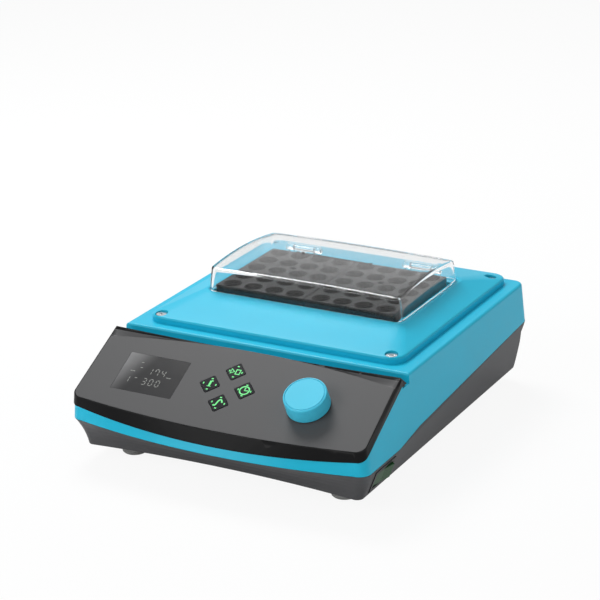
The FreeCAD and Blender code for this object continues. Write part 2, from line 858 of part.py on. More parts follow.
cutout = new_body("thermal_cutout")
upright(cutout, [("0", "cutout_y")], "cutout_radius",
        "%s-plate_thick-cutout_height" % plate_top, "%s-plate_thick" % plate_top)
keep(cutout)


# Clear cover
# A thin moulded hood with a little draft. Its top is arched from front to back, and the outer
# and inner forms come from the same rule.
def lid_form(label, inset):
    body = new_body(label)
    stages = []
    for height, draw in (("deck_height-lid_seat+lid_gap", "0"), ("lid_top+lid_gap", "lid_draft")):
        half = "(lid_width/2-%s-%s)" % (inset, draw)
        outer = rounded("-%s" % half, half, "lid_front+%s+%s" % (inset, draw),
                        "lid_rear-%s-%s" % (inset, draw), "lid_corner-%s" % inset)
        stages.append((outer, height))
    loft(body, "AdditiveLoft", "XY_Plane", stages)
    sag = "(lid_arch-sqrt(lid_arch^2-lid_arch_span^2))"
    brim = "lid_top-%s-%s" % (inset, sag)
    sky = "lid_top+lid_arch_span"
    pocket(body, "YZ_Plane", [
        ("lid_arch_centre-lid_arch_span", brim, "-%s" % sag),
        ("lid_arch_centre+lid_arch_span", brim),
        ("lid_arch_centre+lid_arch_span", sky),
        ("lid_arch_centre-lid_arch_span", sky)], "lid_width+10", both=True)
    soften(body, "lid_edge-%s" % inset,
           lambda edge, ends: min(point.z for point in ends) > number("lid_top-lid_edge*3"))
    return body


lid = lid_form("lid", "0")
subtract_body(lid, lid_form("lid_hollow", "lid_wall"))
pocket(lid, "YZ_Plane",
       box_corners("lift_start", "lid_rear+5", "flange_height",
                   "deck_height-lid_seat+lid_gap+rear_lift"), "lid_width+10", both=True)
hinge_spot = [("hinge_back", "hinge_height")]
knuckle_half = "(knuckle_length/2)"
ear_start = "(knuckle_length/2+2*hinge_gap)"
notch_half = "(%s+ear_length)" % ear_start
for hinge in ("-hinge_spread/2", "hinge_spread/2"):
    pocket(lid, "YZ_Plane",
           box_corners("hinge_back-knuckle_radius-1", "lid_rear+5", "flange_height",
                       "hinge_height+knuckle_radius+notch_rise"),
           "2*%s" % notch_half, offset=hinge, both=True)
    for start in ("%s+%s" % (hinge, ear_start), "%s-%s-1" % (hinge, notch_half)):
        feature(lid, "Pad", circles(lid, "YZ_Plane", hinge_spot, "knuckle_radius", start),
                "ear_length+1")
    feature(lid, "Pocket",
            circles(lid, "YZ_Plane", hinge_spot, "pin_radius+pin_play", hinge),
            "2*%s" % notch_half, both=True)
keep(lid)

# Hinges of the cover: a bracket on the deck carries the middle knuckle, and a pin runs through
brackets = new_body("hinge_brackets")
pins = new_body("hinge_pins")
seat_floor = "deck_height-lid_seat"
for hinge in ("-hinge_spread/2", "hinge_spread/2"):
    pad(brackets, "YZ_Plane",
        box_corners("hinge_plate_front", "hinge_back+hinge_plate_rear", seat_floor,
                    "%s+hinge_plate" % seat_floor),
        "knuckle_length+2*hinge_plate_side", offset=hinge, both=True)
    pad(brackets, "YZ_Plane",
        box_corners("hinge_back-hinge_web/2", "hinge_back+hinge_web/2", seat_floor,
                    "hinge_height"), "knuckle_length", offset=hinge, both=True)
    feature(brackets, "Pad", circles(brackets, "YZ_Plane", hinge_spot, "knuckle_radius", hinge),
            "knuckle_length", both=True)
    feature(brackets, "Pocket",
            circles(brackets, "YZ_Plane", hinge_spot, "pin_radius+thread_play", hinge),
            "knuckle_length+2", both=True)
    feature(pins, "Pad", circles(pins, "YZ_Plane", hinge_spot, "pin_radius", hinge),
            "2*%s-hinge_gap" % notch_half, both=True)
keep(brackets)
keep(pins)


# Control panel
# A tray-shaped moulding with a bowed foot and a sloping skirt. Two shallow scoops run along its
# upper edge, under a crease that is highest in the middle and in front of a thin rim.
def panel_section(depth, inset, top_inset):
    share = "(%s)/panel_skirt" % depth
    half = "(panel_width/2+skirt_grow*%s-%s)" % (share, inset)
    half_top = "(panel_width_top/2+skirt_grow*%s-%s)" % (share, inset)
    foot = "%s-skirt_lip*%s" % (inset, share)
    return [
        ("panel_corner-%s" % half, foot, "panel_bow+(skirt_bow-panel_bow)*%s" % share),
        ("%s-panel_corner" % half, foot, "panel_corner*%.9f" % ROUND),
        (half, "%s+panel_corner" % foot),
        (half_top, "panel_length-%s" % top_inset, "-panel_top_bow"),
        ("-%s" % half_top, "panel_length-%s" % top_inset),
        ("-%s" % half, "%s+panel_corner" % foot, "panel_corner*%.9f" % ROUND),
    ]


# A square standing on one corner, with the corners rounded
def diamond(x, y, side, radius):
    reach = "((%s)-(%s))*sqrt(0.5)" % (side, radius)
    nick = "(%s)*sqrt(0.5)" % radius
    turn = "(%s)*%.9f" % (radius, ROUND)
    return [
        ("%s+%s" % (x, reach), "%s-%s" % (y, nick), turn),
        ("%s+%s" % (x, reach), "%s+%s" % (y, nick)),
        ("%s+%s" % (x, nick), "%s+%s" % (y, reach), turn),
        ("%s-%s" % (x, nick), "%s+%s" % (y, reach)),
        ("%s-%s" % (x, reach), "%s+%s" % (y, nick), turn),
        ("%s-%s" % (x, reach), "%s-%s" % (y, nick)),
        ("%s-%s" % (x, nick), "%s-%s" % (y, reach), turn),
        ("%s+%s" % (x, nick), "%s-%s" % (y, reach)),
    ]


def display_outline(margin):
    return rounded("display_x-display_width/2-%s" % margin, "display_x+display_width/2+%s" % margin,
                   "display_v-display_height/2-%s" % margin,
                   "display_v+display_height/2+%s" % margin, "display_corner")


KEYS = {
    "button_temperature": ("keys_x-keys_step_x", "keys_v"),
    "button_start_stop": ("keys_x", "keys_v+keys_step_v"),
    "button_time": ("keys_x+keys_step_x", "keys_v"),
    "button_program": ("keys_x", "keys_v-keys_step_v"),
}
BOARD_SCREWS = [(x, v) for v in ("board_low+board_screw_inset", "board_high-board_screw_inset")
                for x in ("board_x-board_width/2+board_screw_inset",
                          "board_x+board_screw_middle",
                          "board_x+board_width/2-board_screw_inset")]
board_top = "(board_thick-board_drop)"

bezel = new_body("control_panel")
loft(bezel, "AdditiveLoft", "XY_Plane",
     [(panel_section("panel_skirt", "0", "0"), "-panel_skirt"),
      (panel_section("0", "0", "0"), "0")])
loft(bezel, "SubtractiveLoft", "XY_Plane",
     [(panel_section("panel_skirt+1", "panel_wall", "scoop_length+1"), "-panel_skirt-1"),
      (panel_section("panel_wall", "panel_wall", "scoop_length+1"), "-panel_wall")])
crease_end = "panel_width/2+2"
beyond_edge = "panel_length+scoop_length"
loft(bezel, "SubtractiveLoft", "XY_Plane", [
    ([("-%s" % crease_end, "panel_length-scoop_length", "-scoop_bow"),
      (crease_end, "panel_length-scoop_length"),
      (crease_end, beyond_edge), ("-%s" % crease_end, beyond_edge)], "0"),
    ([("-%s" % crease_end, "panel_length"), (crease_end, "panel_length"),
      (crease_end, beyond_edge), ("-%s" % crease_end, beyond_edge)], "-scoop_depth")])
rim_half = "(panel_width_top/2-rim_step)"
pad(bezel, "XY_Plane", [
    ("-%s" % rim_half, "panel_length-rim_width", "panel_top_bow"),
    (rim_half, "panel_length-rim_width"),
    (rim_half, "panel_length-rim_step", "-panel_top_bow"),
    ("-%s" % rim_half, "panel_length-rim_step")], "scoop_depth+panel_wall", back=True)
upright(bezel, BOARD_SCREWS, "board_boss", board_top, "-panel_wall")
drilled(bezel, BOARD_SCREWS, "board_screw+thread_play", "%s-1" % board_top, "-panel_skirt")
through_face = "panel_wall+2"
pocket(bezel, "XY_Plane", display_outline("fit_gap/2"), through_face, offset="1")
for x, v in KEYS.values():
    pocket(bezel, "XY_Plane", diamond(x, v, "key_side+2*key_gap", "key_corner+key_gap"),
           through_face, offset="1")
knob_spot = [("knob_x", "knob_v")]
drilled(bezel, knob_spot, "bushing_radius+fit_gap", "-panel_wall-1", "1")
lay_on_panel(bezel)
keep(bezel)

# Printed film over the flat part of the face
overlay = new_body("panel_overlay")
film_outline = panel_section("0", "film_inset", "scoop_length+film_inset")
film_outline[3] = film_outline[3][:2] + ("scoop_bow",)
pad(overlay, "XY_Plane", film_outline, "film")
pocket(overlay, "XY_Plane", display_outline("fit_gap/2"), "film+2", offset="film+1")
for x, v in KEYS.values():
    pocket(overlay, "XY_Plane", diamond(x, v, "key_side+2*key_gap", "key_corner+key_gap"),
           "film+2", offset="film+1")
drilled(overlay, knob_spot, "bushing_radius+fit_gap", "-1", "film+1")
lay_on_panel(overlay)
keep(overlay)

# Display: a stepped window held from behind, and the module on its legs on the board
glass = new_body("display_window")
pad(glass, "XY_Plane", display_outline("0"), "panel_wall+film-film_step", offset="-panel_wall")
pad(glass, "XY_Plane", display_outline("display_rim"), "display_thick", offset="-panel_wall",
    back=True)
lay_on_panel(glass)
keep(glass)

module = new_body("display_module")
module_top = "(-panel_wall-display_thick-bed_gap)"
pad(module, "XY_Plane", display_outline("-display_rim/2"), "module_thick", offset=module_top,
    back=True)
LEGS = [("display_x%s(display_width/2-leg_inset)" % side,
         "display_v%s(display_height/2-leg_inset)" % end) for end in "-+" for side in "-+"]
upright(module, LEGS, "leg_radius", board_top, "%s-module_thick" % module_top)
lay_on_panel(module)
keep(module)

# Control board, its screws and the four key switches on it
board = new_body("control_board")
pad(board, "XY_Plane",
    box_corners("board_x-board_width/2", "board_x+board_width/2", "board_low", "board_high"),
    "board_thick", offset="-board_drop")
drilled(board, BOARD_SCREWS, "board_screw+fit_gap", "-board_drop-1", "%s+1" % board_top)
pad(board, "XY_Plane",
    box_corners("socket_x-socket_long/2", "socket_x+socket_long/2", "board_low+1",
                "board_low+1+socket_wide"), "socket_tall", offset="-board_drop", back=True)
lay_on_panel(board)
keep(board)

panel_screws = screws("panel_screws", BOARD_SCREWS, "board_screw_head",
                      "-board_drop-board_screw_high", "-board_drop", "board_screw",
                      "-board_drop", "-panel_skirt-fit_gap", "board_screw_socket", False)
lay_on_panel(panel_screws)

switches = new_body("tact_switches")
for x, v in KEYS.values():
    pad(switches, "XY_Plane",
        box_corners("%s-switch_side/2" % x, "%s+switch_side/2" % x, "%s-switch_side/2" % v,
                    "%s+switch_side/2" % v), "switch_height-plunger_height", offset=board_top)
upright(switches, list(KEYS.values()), "plunger_radius",
        "%s+switch_height-plunger_height" % board_top, "%s+switch_height" % board_top)
lay_on_panel(switches)
keep(switches)


# Keys: a cap through the face, a flange that stops it from behind, and a stem over the switch
def button(label, x, v):
    body = new_body(label)
    neck = "(-panel_wall-key_gap)"
    pad(body, "XY_Plane", diamond("0", "0", "key_side", "key_corner"), "key_proud-%s" % neck,
        offset=neck)
    pad(body, "XY_Plane", diamond("0", "0", "key_side+2*key_flange", "key_corner"),
        "%s+key_height" % neck, offset=neck, back=True)
    upright(body, [("0", "0")], "stem_radius",
            "%s+switch_height+key_travel+fit_gap" % board_top, "-key_height")
    lay_on_panel(body, x, v)
    return keep(body)


for label, (x, v) in KEYS.items():
    button(label, x, v)

# Knob: a hollow turned cap with a fine ring in its top, on the shaft of an encoder whose bushing
# comes up through the face and is held by a nut
encoder = new_body("rotary_encoder")
encoder_top = "(%s+encoder_height)" % board_top
pad(encoder, "XY_Plane",
    box_corners("-encoder_side/2", "encoder_side/2", "-encoder_side/2", "encoder_side/2"),
    "encoder_height", offset=board_top)
upright(encoder, [("0", "0")], "bushing_radius", encoder_top, "bushing_proud")
drilled(encoder, [("0", "0")], "shaft_radius+shaft_play", "%s+encoder_floor" % board_top,
        "bushing_proud+1")
lay_on_panel(encoder, "knob_x", "knob_v")
keep(encoder)

nut = new_body("encoder_nut")
pad(nut, "XY_Plane", hexagon("0", "0", "nut_radius"), "nut_thick", offset="film")
drilled(nut, [("0", "0")], "bushing_radius+thread_play", "film-1", "film+nut_thick+1")
lay_on_panel(nut, "knob_x", "knob_v")
keep(nut)

knob = new_body("knob")
knob_top = "(knob_lift+knob_height)"
turned(knob, "Revolution", [
    ("0", knob_top), ("0", "%s-knob_wall" % knob_top),
    ("shaft_radius+thread_play", "%s-knob_wall" % knob_top),
    ("shaft_radius+thread_play", "hub_low"), ("hub_radius", "hub_low"),
    ("hub_radius", "%s-knob_wall" % knob_top),
    ("knob_radius-knob_draft-knob_wall", "%s-knob_wall" % knob_top),
    ("knob_radius-knob_wall", "knob_lift"), ("knob_radius", "knob_lift"),
    ("knob_radius-knob_draft", knob_top)])
soften(knob, "knob_edge", lambda edge, ends: level(knob_top)(edge, ends)
       and edge.Length > number("knob_radius"))
turned(knob, "Groove", [
    ("knob_ring-knob_ring_width/2", "%s-knob_ring_depth" % knob_top),
    ("knob_ring+knob_ring_width/2", "%s-knob_ring_depth" % knob_top),
    ("knob_ring+knob_ring_width/2", "%s+1" % knob_top),
    ("knob_ring-knob_ring_width/2", "%s+1" % knob_top)])
lay_on_panel(knob, "knob_x", "knob_v")
keep(knob)

shaft = new_body("encoder_shaft")
upright(shaft, [("0", "0")], "shaft_radius", "%s+encoder_floor+fit_gap" % board_top,
        "%s-knob_wall-fit_gap" % knob_top)
lay_on_panel(shaft, "knob_x", "knob_v")
keep(shaft)

# Power switch in the leaning right side of the tray. Its parts are drawn flat: X runs down the
# wall, Y to the rear and Z straight out of it.
SIDE_LEAN = "90 deg+atan((case_width-tray_width)/2/(seam_front-tray_height))"


def lay_on_side(body, out="0", roll="0"):
    lean = FreeCAD.Rotation(FreeCAD.Vector(0, 1, 0), number(SIDE_LEAN))
    body.Placement.Rotation = lean.multiply(
        FreeCAD.Rotation(FreeCAD.Vector(1, 0, 0), number(roll)))
    spread = "(case_width-tray_width)/2/(seam_front-tray_height)"
    bind(body, "Placement.Base.x", "tray_width/2+(rocker_z-tray_height)*%s+(%s)*sin(%s)"
         % (spread, out, SIDE_LEAN))
    bind(body, "Placement.Base.y", "rocker_y")
    bind(body, "Placement.Base.z", "rocker_z+(%s)*cos(%s)" % (out, SIDE_LEAN))


def switch_box(margin):
    return box_corners("-rocker_height/2-(%s)" % margin, "rocker_height/2+%s" % margin,
                       "-rocker_length/2-(%s)" % margin, "rocker_length/2+%s" % margin)


opening = new_body("switch_opening")
pad(opening, "XY_Plane", switch_box("fit_gap"), "2*(rocker_depth+fit_gap)", both=True)
lay_on_side(opening)
subtract_body(tray, opening)

frame = new_body("power_switch_frame")
pad(frame, "XY_Plane", switch_box("0"), "rocker_depth", back=True)
pad(frame, "XY_Plane", switch_box("rocker_rim"), "rocker_rim_thick")
pocket(frame, "XY_Plane", switch_box("-rocker_wall"), "rocker_depth+rocker_rim_thick-rocker_wall+1",
       offset="rocker_rim_thick+1")
pivot = [("0", "-pivot_depth")]
feature(frame, "Pocket", circles(frame, "YZ_Plane", pivot, "pivot_radius+pin_play"),
        "rocker_height+1", both=True)
for x in ("-tab_pitch", "0", "tab_pitch"):
    pad(frame, "XY_Plane", box_corners("-tab_wide/2", "tab_wide/2", "%s-tab_thick/2" % x,
                                       "%s+tab_thick/2" % x),
        "tab_long", offset="-rocker_depth", back=True)
lay_on_side(frame)
keep(frame)

# Rocker: a bent top over two flat ends, on two stub pins. It rests with its front end pressed.
rocker = new_body("power_rocker")
half_rocker = "(rocker_length/2-rocker_wall-rocker_play)"
ends_high = "(pivot_depth+rocker_rise)"
pad(rocker, "YZ_Plane", [
    ("-%s" % half_rocker, ends_high), ("-%s" % half_rocker, "-rocker_foot/2"),
    ("0", "-rocker_foot"), (half_rocker, "-rocker_foot/2"), (half_rocker, ends_high),
    ("0", "pivot_depth+rocker_dip")], "rocker_height-2*rocker_wall-2*fit_gap", both=True)
feature(rocker, "Pad", circles(rocker, "YZ_Plane", [("0", "0")], "pivot_radius"),
        "rocker_height-fit_gap", both=True)
lay_on_side(rocker, "-pivot_depth", "rocker_swing/2")
keep(rocker)

# Mains inlet: a shell with a socket and three blades, snapped into the rear wall
inlet = new_body("power_inlet")


def inlet_box(margin):
    return rounded("inlet_x-inlet_width/2-(%s)" % margin, "inlet_x+inlet_width/2+%s" % margin,
                   "inlet_z-inlet_height/2-(%s)" % margin,
                   "inlet_z+inlet_height/2+%s" % margin, "inlet_corner")


pad(inlet, "XZ_Plane", inlet_box("0"), "inlet_depth", offset="-tray_rear")
pad(inlet, "XZ_Plane", inlet_box("inlet_rim"), "inlet_rim_thick", offset="-tray_rear", back=True)
socket_floor = "-(tray_rear+inlet_rim_thick-socket_depth)"
pocket(inlet, "XZ_Plane", [
    ("inlet_x-socket_width/2", "inlet_z-socket_height/2"),
    ("inlet_x+socket_width/2", "inlet_z-socket_height/2"),
    ("inlet_x+socket_width/2", "inlet_z+socket_height/2-socket_chamfer"),
    ("inlet_x+socket_width/2-socket_chamfer", "inlet_z+socket_height/2"),
    ("inlet_x-socket_width/2+socket_chamfer", "inlet_z+socket_height/2"),
    ("inlet_x-socket_width/2", "inlet_z+socket_height/2-socket_chamfer")],
    "socket_depth+1", offset=socket_floor)
for place in range(PRONGS):
    shift = "inlet_x+blade_pitch*%d" % (place - PRONGS // 2)
    pad(inlet, "XZ_Plane", box_corners("%s-blade_thick/2" % shift, "%s+blade_thick/2" % shift,
                                       "inlet_z-blade_width/2", "inlet_z+blade_width/2"),
        "socket_depth-inlet_rim_thick", offset=socket_floor, back=True)
    pad(inlet, "XZ_Plane", box_corners("%s-tab_thick/2" % shift, "%s+tab_thick/2" % shift,
                                       "inlet_z-tab_wide/2", "inlet_z+tab_wide/2"),
        "tab_long", offset="-(tray_rear-inlet_depth)")
keep(inlet)
pocket(tray, "XZ_Plane", inlet_box("fit_gap"), "wall+3", offset="-(tray_rear-wall-1)")

# Power board on four spacers, with its coil, two capacitors and a relay
power = new_body("power_board")
power_low = "(%s+power_lift)" % floor
power_top = "(%s+board_thick)" % power_low
POSTS = [("%s(power_width/2-post_inset)" % side,
          "power_y%s(power_length/2-post_inset)" % end) for end in "-+" for side in ("-", "")]
pad(power, "XY_Plane",
    box_corners("-power_width/2", "power_width/2", "power_y-power_length/2",
                "power_y+power_length/2"), "board_thick", offset=power_low)
pad(power, "XY_Plane", box_corners("coil_x-coil_width/2", "coil_x+coil_width/2",
                                   "power_y-coil_width/2", "power_y+coil_width/2"),
    "coil_height", offset=power_top)
upright(power, [("capacitor_x", "power_y-capacitor_radius-1"),
                ("capacitor_x", "power_y+capacitor_radius+1")],
        "capacitor_radius", power_top, "%s+capacitor_high" % power_top)
pad(power, "XY_Plane", box_corners("-relay_wide/2", "relay_wide/2", "power_y-relay_long/2",
                                   "power_y+relay_long/2"), "relay_high", offset=power_top)
keep(power)

spacers = new_body("power_board_posts")
upright(spacers, POSTS, "post_radius", floor, power_low)
keep(spacers)

# Feet: rubber pads with a recess for the screw that holds each one to the tray
feet = new_body("feet")
upright(feet, FEET, "foot_radius", "0", "tray_height")
soften(feet, "foot_taper", level("0"), "Chamfer")
drilled(feet, FEET, "foot_recess", "-1", "foot_recess_depth")
drilled(feet, FEET, "foot_screw_radius+fit_gap", "0", "tray_height+1")
keep(feet)
screws("foot_screws", FEET, "foot_screw_head", "foot_recess_depth-foot_screw_high",
       "foot_recess_depth", "foot_screw_radius", "foot_recess_depth", "foot_boss_top-1",
       "foot_screw_socket", False)

# Nothing is written unless every object and every piece is sound
doc.recompute()
for item in doc.Objects:
    if "Invalid" in item.State or "Error" in item.State:
        raise RuntimeError("%s could not be built" % item.Label)
for node in nodes:
    if node.Shape.isNull() or not node.Shape.isValid():
        raise RuntimeError("%s has no sound shape" % node.Label)
os.makedirs("parts", exist_ok=True)
for node in nodes:
    node.Shape.exportStep("parts/%s.step" % node.Label)
print("%d pieces written" % len(nodes))
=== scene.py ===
import json
import math
import bmesh
import bpy
from mathutils import Matrix, Vector


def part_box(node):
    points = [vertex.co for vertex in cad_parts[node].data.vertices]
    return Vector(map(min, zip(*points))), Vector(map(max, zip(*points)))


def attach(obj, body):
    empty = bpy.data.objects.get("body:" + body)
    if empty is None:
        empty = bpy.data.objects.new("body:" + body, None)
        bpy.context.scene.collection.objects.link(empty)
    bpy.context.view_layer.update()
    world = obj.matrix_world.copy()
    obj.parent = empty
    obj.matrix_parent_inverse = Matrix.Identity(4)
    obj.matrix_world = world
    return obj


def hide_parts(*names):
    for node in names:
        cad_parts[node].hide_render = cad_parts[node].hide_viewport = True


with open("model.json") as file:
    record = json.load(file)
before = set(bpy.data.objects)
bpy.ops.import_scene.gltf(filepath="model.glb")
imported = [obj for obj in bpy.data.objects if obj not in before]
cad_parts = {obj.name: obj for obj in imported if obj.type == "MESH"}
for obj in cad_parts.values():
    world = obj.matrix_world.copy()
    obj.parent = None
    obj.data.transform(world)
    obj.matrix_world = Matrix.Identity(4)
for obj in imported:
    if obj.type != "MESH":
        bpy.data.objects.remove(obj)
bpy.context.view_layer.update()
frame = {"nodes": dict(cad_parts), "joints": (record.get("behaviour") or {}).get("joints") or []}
MM = 0.001


# Camera
# The instrument is seen from its front right corner and a little from above, through a long lens,
# so its edges run almost parallel. The camera is rolled by a part of a degree.
lens_length = 131.1
sensor_width = 36
view_turn = math.radians(27.83)
view_height = math.radians(20.11)
view_roll = math.radians(-0.636)
camera_place = Vector((0.7262, -1.3840, 0.6709))
back = Vector((math.sin(view_turn) * math.cos(view_height),
               -math.cos(view_turn) * math.cos(view_height), math.sin(view_height)))
level_right = Vector((math.cos(view_turn), math.sin(view_turn), 0))
right = Matrix.Rotation(view_roll, 3, back) @ level_right
above = back.cross(right)
lens = bpy.data.cameras.new("camera")
lens.lens = lens_length
lens.sensor_width = sensor_width
camera = bpy.data.objects.new("camera", lens)
camera.matrix_world = Matrix.Translation(camera_place) @ Matrix(
    (right, above, back)).transposed().to_4x4()
bpy.context.collection.objects.link(camera)
bpy.context.scene.camera = camera
bpy.context.scene.view_settings.view_transform = "Standard"


# Floor and light
# A white table under soft boxes. The camera and reflections see white, while the floor still
# takes a part of the light that falls on it, and so keeps the shadow of the instrument.
class Wire:
    """A socket of a finish. Arithmetic on wires adds the Math nodes that do it."""

    def __init__(self, finish, socket):
        self.finish = finish
        self.socket = socket

    def reckon(self, operation, first, second):
        return self.finish.node("Math", {"operation": operation}, {0: first, 1: second})

    def __add__(self, other):
        return self.reckon("ADD", self, other)

    def __sub__(self, other):
        return self.reckon("SUBTRACT", self, other)

    def __rsub__(self, other):
        return self.reckon("SUBTRACT", other, self)

    def __mul__(self, other):
        return self.reckon("MULTIPLY", self, other)

    __radd__ = __add__
    __rmul__ = __mul__


class Finish:
    """A material, or the shading of the room, built node by node."""

    def __init__(self, name, room=None):
        self.material = room or bpy.data.materials.new(name)
        self.material.use_nodes = True
        self.tree = self.material.node_tree
        self.tree.nodes.clear()

    def node(self, kind, settings=None, sockets=None, output=0):
        item = self.tree.nodes.new("ShaderNode" + kind)
        for key, value in (settings or {}).items():
            setattr(item, key, value)
        for key, value in (sockets or {}).items():
            if isinstance(value, Wire):
                self.tree.links.new(value.socket, item.inputs[key])
            else:
                item.inputs[key].default_value = value
        return Wire(self, item.outputs[output]) if item.outputs else None

    def show(self, shader):
        self.node("OutputMaterial", None, {"Surface": shader})
        return self.material


mirror_share = 0.5


def seen_white(finish):
    """Full white to the camera and through glass, and a little less in reflections."""
    seen, mirrored, through = (finish.node("LightPath", output=kind) for kind in (
        "Is Camera Ray", "Is Glossy Ray", "Is Transmission Ray"))
    return finish.node("Clamp", None, {"Value": seen + mirrored * mirror_share + through})


floor_half = 6.0
floor_tone = (0.92, 0.92, 0.92, 1)
shadow_share = 0.09
floor_mesh = bpy.data.meshes.new("floor")
floor_mesh.from_pydata([(-floor_half, -floor_half, 0), (floor_half, -floor_half, 0),
                        (floor_half, floor_half, 0), (-floor_half, floor_half, 0)],
                       [], [(0, 1, 2, 3)])
floor = bpy.data.objects.new("floor", floor_mesh)
bpy.context.collection.objects.link(floor)
table_top = Finish("table_top")
lit = table_top.node("BsdfDiffuse", None, {"Color": floor_tone})
white = table_top.node("Emission", None, {"Color": (1, 1, 1, 1), "Strength": 1})
glow = table_top.node("MixShader", None, {
    "Fac": (1 - shadow_share) * seen_white(table_top), 1: lit, 2: white})
floor_mesh.materials.append(table_top.show(glow))

room = bpy.data.worlds.new("room")
bpy.context.scene.world = room
room_light = Finish("room_light", room)
room_tone = (0.97, 0.99, 1, 1)
room_strength = 0.3
dim = room_light.node("Background", None, {"Color": room_tone, "Strength": room_strength})
bright = room_light.node("Background", None, {"Color": (1, 1, 1, 1), "Strength": 1})
shown = room_light.node("MixShader", None, {"Fac": seen_white(room_light), 1: dim, 2: bright})
room_light.node("OutputWorld", None, {"Surface": shown})


case_middle = Vector((0, 0, 0.06))


def soft_box(name, place, width, height, power):
    """A flat lamp, width by height, that faces the middle of the case."""
    light = bpy.data.lights.new(name, "AREA")
    light.shape = "RECTANGLE"
    light.size = width
    light.size_y = height
    light.energy = power
    lamp = bpy.data.objects.new(name, light)
    toward = case_middle - Vector(place)
    lamp.rotation_euler = toward.to_track_quat("-Z", "Y").to_euler()
    lamp.location = place
    bpy.context.collection.objects.link(lamp)


soft_box("key_light", (-0.62, 0.55, 1.25), 0.7, 0.55, 15)
soft_box("front_light", (-0.7, -1.35, 0.95), 1.0, 0.7, 10)
soft_box("side_light", (1.4, -0.2, 0.7), 0.8, 0.6, 2.3)


# Lower tray
# A deep tray of dark grey moulded plastic with a fine spark-eroded grain, screwed to the upper
# shell from below. Its edges are slightly polished by handling, and painted lighter, partly as wear
# and partly as a painted highlight.
def paint(red, green, blue):
    """A colour as a colour chart gives it, 0 to 255, as the shader needs it."""
    shares = (value / 255 for value in (red, green, blue))
    return tuple(((s + 0.055) / 1.055) ** 2.4 if s > 0.04045 else s / 12.92
                 for s in shares) + (1,)


def noise(finish, grain, detail=2.0):
    """Even noise in the object's own space, with patches about as large as the grain."""
    place = finish.node("TexCoord", output="Object")
    return finish.node("TexNoise", None, {"Vector": place, "Scale": 1 / grain,
                                          "Detail": detail, "Roughness": 0.55})


def blend_colours(finish, share, first, second):
    """Node sockets 6 and 7 are the two colours of a Mix node, and its third output the result."""
    return finish.node("Mix", {"data_type": "RGBA"}, {"Factor": share, 6: first, 7: second},
                       output=2)


flow_length = 28 * MM
speckle_gloss = 0.12
flow_gloss = 0.05
# Edges are painted lighter than the rest: partly wear, partly a painted highlight along them.
wear_and_highlight_from = 0.98
wear_and_highlight_to = 0.80
wear_and_highlight_gain = 1.35
wear_and_highlight_haze = 0.02
deep_share = 0.93


def moulded(name, colour, gloss=0.42, grain=0.35 * MM, relief=0.012 * MM, edge=0.35 * MM,
            edge_wear_and_highlight=0.25, **uniform):
    """Moulded plastic: fine grain, faint flow marks, and edges a little lighter, partly wear and
    partly a painted highlight.
    """
    finish = Finish(name)
    rim = finish.node("Bevel", {"samples": 4}, {"Radius": edge})
    face = finish.node("NewGeometry", output="Normal")
    facing = finish.node("VectorMath", {"operation": "DOT_PRODUCT"}, {0: rim, 1: face},
                         output="Value")
    wear_and_highlight = finish.node("MapRange", None, {"Value": facing, "From Min": wear_and_highlight_from,
                                          "From Max": wear_and_highlight_to, "To Min": 0.0, "To Max": edge_wear_and_highlight})
    flow = noise(finish, flow_length, detail=1.0)
    speckle = noise(finish, grain)
    light_tone = tuple(min(1, channel * wear_and_highlight_gain + wear_and_highlight_haze) for channel in colour[:3]) + (1,)
    deep_tone = tuple(channel * deep_share for channel in colour[:3]) + (1,)
    base = blend_colours(finish, flow, deep_tone, colour)
    base = blend_colours(finish, wear_and_highlight, base, light_tone)
    skin = finish.node("Bump", None, {"Strength": 0.5, "Distance": relief, "Height": speckle,
                                      "Normal": rim})
    rough = speckle * speckle_gloss + flow * flow_gloss + (gloss - 0.08)
    sockets = {"Base Color": base, "Roughness": rough, "Normal": skin,
               "Specular IOR Level": 0.22}
    sockets.update(uniform)
    return finish.show(finish.node("BsdfPrincipled", None, sockets))


def dress(material, *nodes):
    """Gives this finish to CAD nodes in place of their plain one."""
    for node in nodes:
        slots = frame["nodes"][node].data.materials
        for place in range(len(slots)):
            slots[place] = material


tray_grey = moulded("tray_grey", paint(84, 84, 86), gloss=0.5, relief=0.03 * MM)
dress(tray_grey, "base_tray")


# Feet and the screws that hold them
# Four soft moulded rubber pads, pale and slightly clouded. Each is held by a turned steel screw
# that is sunk in its middle and driven into a boss of the tray.
foot_rubber = moulded("foot_rubber", paint(178, 178, 176), gloss=0.62, grain=0.8 * MM,
                      edge=0.6 * MM)
dress(foot_rubber, "feet")


marks_share = 0.6
marks_gloss = 0.16
dull_share = 0.82


def metal(name, colour, gloss, grain, stretch=(1, 1, 1), relief=0.004 * MM, metallic=1.0,
          mirror=0.5, shade=None):
    """Worked metal: marks of the tool, which run longest where the stretch is smallest.

    A shade, where one is given, paints shade into the tone of the metal."""
    finish = Finish(name)
    place = finish.node("TexCoord", output="Object")
    scaled = finish.node("Mapping", None, {"Vector": place, "Scale": stretch})
    marks = finish.node("TexNoise", None, {"Vector": scaled, "Scale": 1 / grain, "Detail": 3.0})
    cloud = noise(finish, grain=12 * MM)
    dull = tuple(channel * dull_share for channel in colour[:3]) + (1,)
    rim = finish.node("Bevel", {"samples": 4}, {"Radius": 0.2 * MM})
    skin = finish.node("Bump", None, {"Strength": 0.4, "Distance": relief, "Height": marks,
                                      "Normal": rim})
    tone = blend_colours(finish, marks * marks_share + cloud * (1 - marks_share), dull, colour)
    if shade:
        tone = shade(finish, tone)
    return finish.show(finish.node("BsdfPrincipled", None, {
        "Base Color": tone, "Metallic": metallic, "Roughness": marks * marks_gloss + (gloss - 0.08),
        "Specular IOR Level": mirror, "Normal": skin}))


bright_steel = metal("bright_steel", paint(222, 224, 226), 0.24, 0.5 * MM, (1, 1, 0.2))
dress(bright_steel, "foot_screws", "case_screws", "panel_screws")


